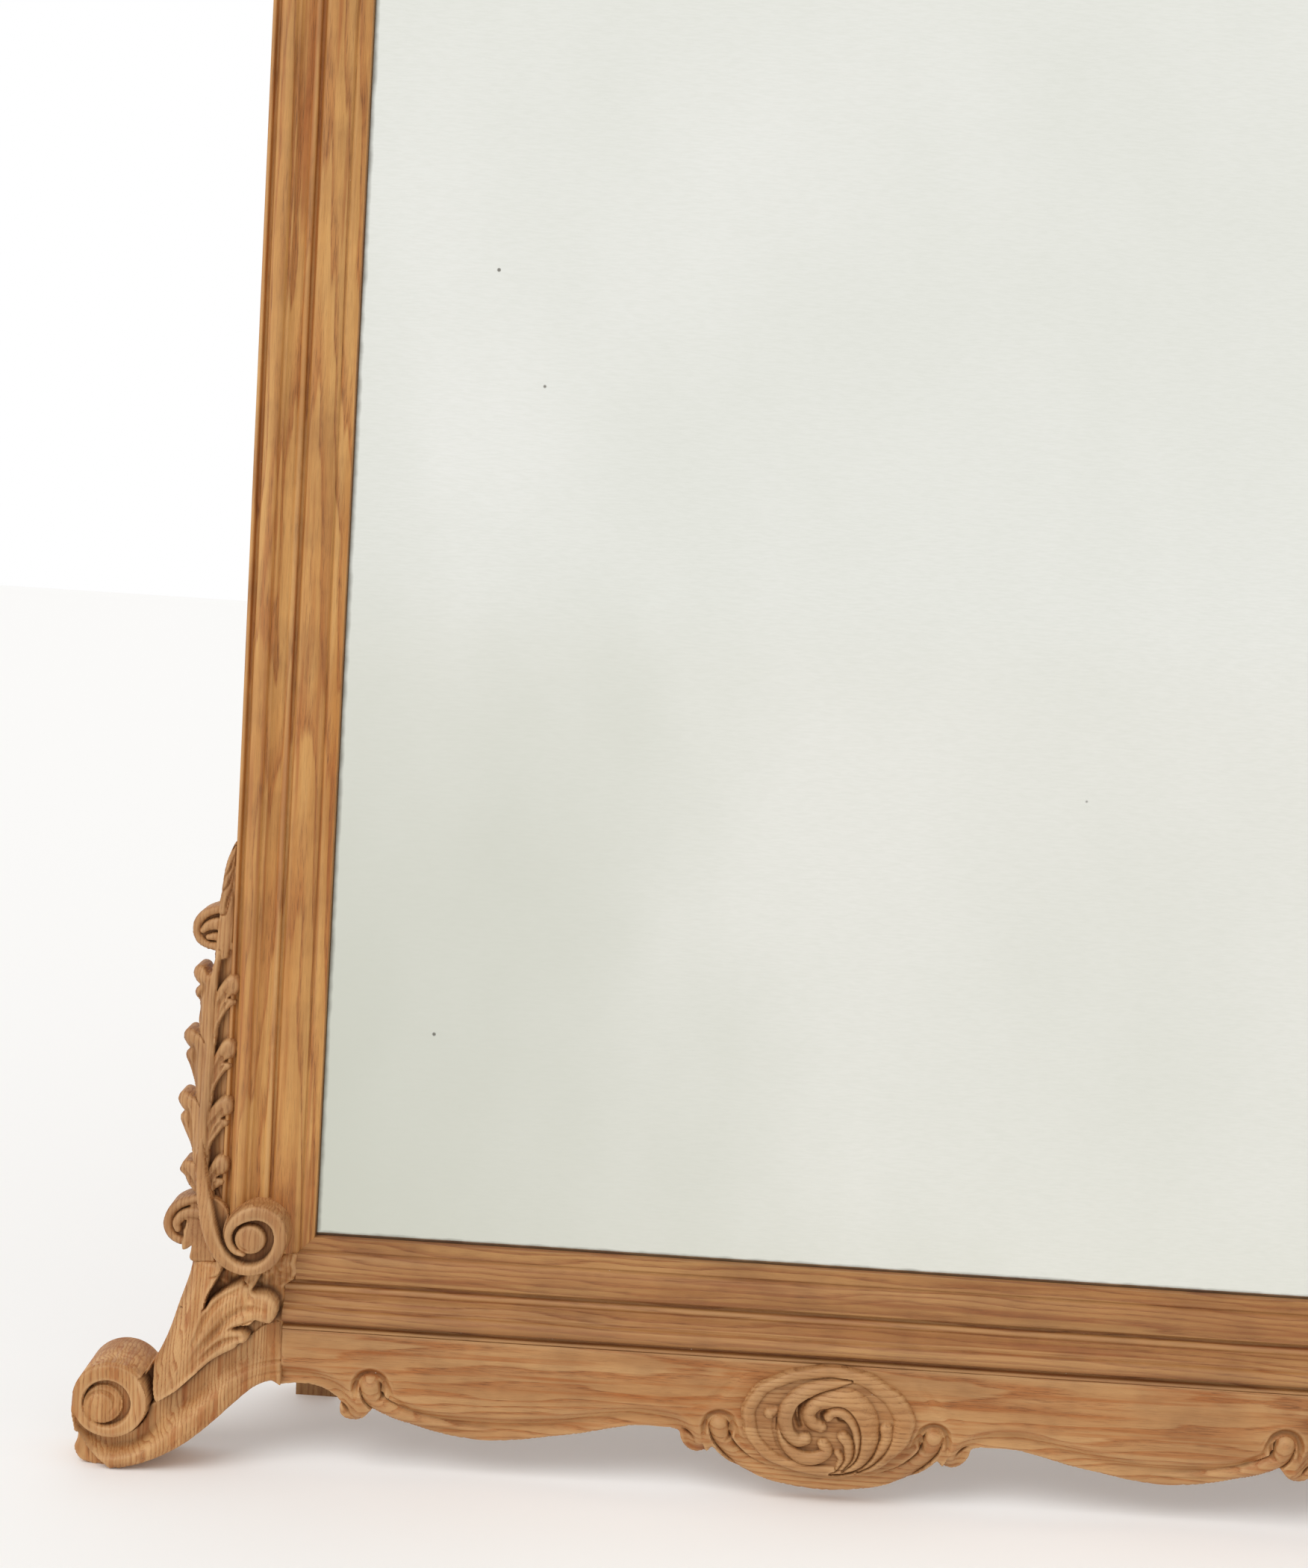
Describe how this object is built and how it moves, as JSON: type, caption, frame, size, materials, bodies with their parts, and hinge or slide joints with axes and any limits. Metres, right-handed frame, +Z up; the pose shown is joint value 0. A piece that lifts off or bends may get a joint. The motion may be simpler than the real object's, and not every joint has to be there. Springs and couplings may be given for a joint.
{
  "type": "floor mirror",
  "caption": "Tall moulded oak floor mirror on carved scroll feet, with a serpentine apron, leaf brackets, a crest and a folding rear prop.",
  "frame": {"origin": "middle of the base box, on the floor", "axes": "+X to the right across the glass, -Y out of the glass to the viewer, +Z up"},
  "size_m": [1.1484, 0.1972, 1.7761],
  "materials": {
    "stripped_oak": "stripped and dry, open pored",
    "carved_oak": "stripped carving with darker hollows",
    "rear_oak": "aged, unfinished",
    "pine": "aged sawn pine",
    "silvered_plate": "old silvered plate, slightly hazy",
    "brass": "dull, aged",
    "steel": "dull, oiled"
  },
  "bodies": {
    "frame": {"left_stile": "stripped_oak", "right_stile": "stripped_oak", "top_rail": "stripped_oak", "bottom_rail": "stripped_oak", "apron": "stripped_oak", "left_foot": "carved_oak", "right_foot": "carved_oak", "left_leaf_bracket": "carved_oak", "right_leaf_bracket": "carved_oak", "left_stile_volute": "carved_oak", "right_stile_volute": "carved_oak", "apron_rosette": "carved_oak", "crest_board": "stripped_oak", "crest_ornament": "carved_oak", "left_corner_key": "stripped_oak", "right_corner_key": "stripped_oak", "frame_pegs": "stripped_oak", "bracket_screws": "steel", "mirror_plate": "silvered_plate", "plate_blocks": "pine", "back_board_1": "pine", "back_board_2": "pine", "back_board_3": "pine", "back_board_4": "pine", "back_board_5": "pine", "back_board_screws": "steel", "rear_rail": "rear_oak", "rear_rail_screws": "steel", "left_hinge_fixed_leaf": "brass", "right_hinge_fixed_leaf": "brass", "left_hinge_pin": "steel", "right_hinge_pin": "steel", "hinge_upper_screws": "steel", "left_button_block": "rear_oak", "right_button_block": "rear_oak", "left_button_screw": "brass", "right_button_screw": "brass"},
    "prop": {"prop_left_leg": "rear_oak", "prop_right_leg": "rear_oak", "prop_top_rail": "rear_oak", "prop_lower_rung": "rear_oak", "prop_middle_rung": "rear_oak", "prop_pegs": "rear_oak", "left_hinge_moving_leaf": "brass", "right_hinge_moving_leaf": "brass", "hinge_lower_screws": "steel"},
    "left_button": {"left_turn_button": "rear_oak"},
    "right_button": {"right_turn_button": "rear_oak"}
  },
  "joints": [
    {"name": "prop_fold", "type": "hinge", "parent": "frame", "child": "prop", "pos_m": [0, -0.04064, 1.10985], "axis": [1, 0, 0], "range_deg": [-6, 0]},
    {"name": "left_button_turn", "type": "hinge", "parent": "frame", "child": "left_button", "pos_m": [-0.448, -0.01364, 0.64], "axis": [0, -1, 0], "range_deg": [0, 90]},
    {"name": "right_button_turn", "type": "hinge", "parent": "frame", "child": "right_button", "pos_m": [0.448, -0.01364, 0.64], "axis": [0, 1, 0], "range_deg": [0, 90]}
  ]
}
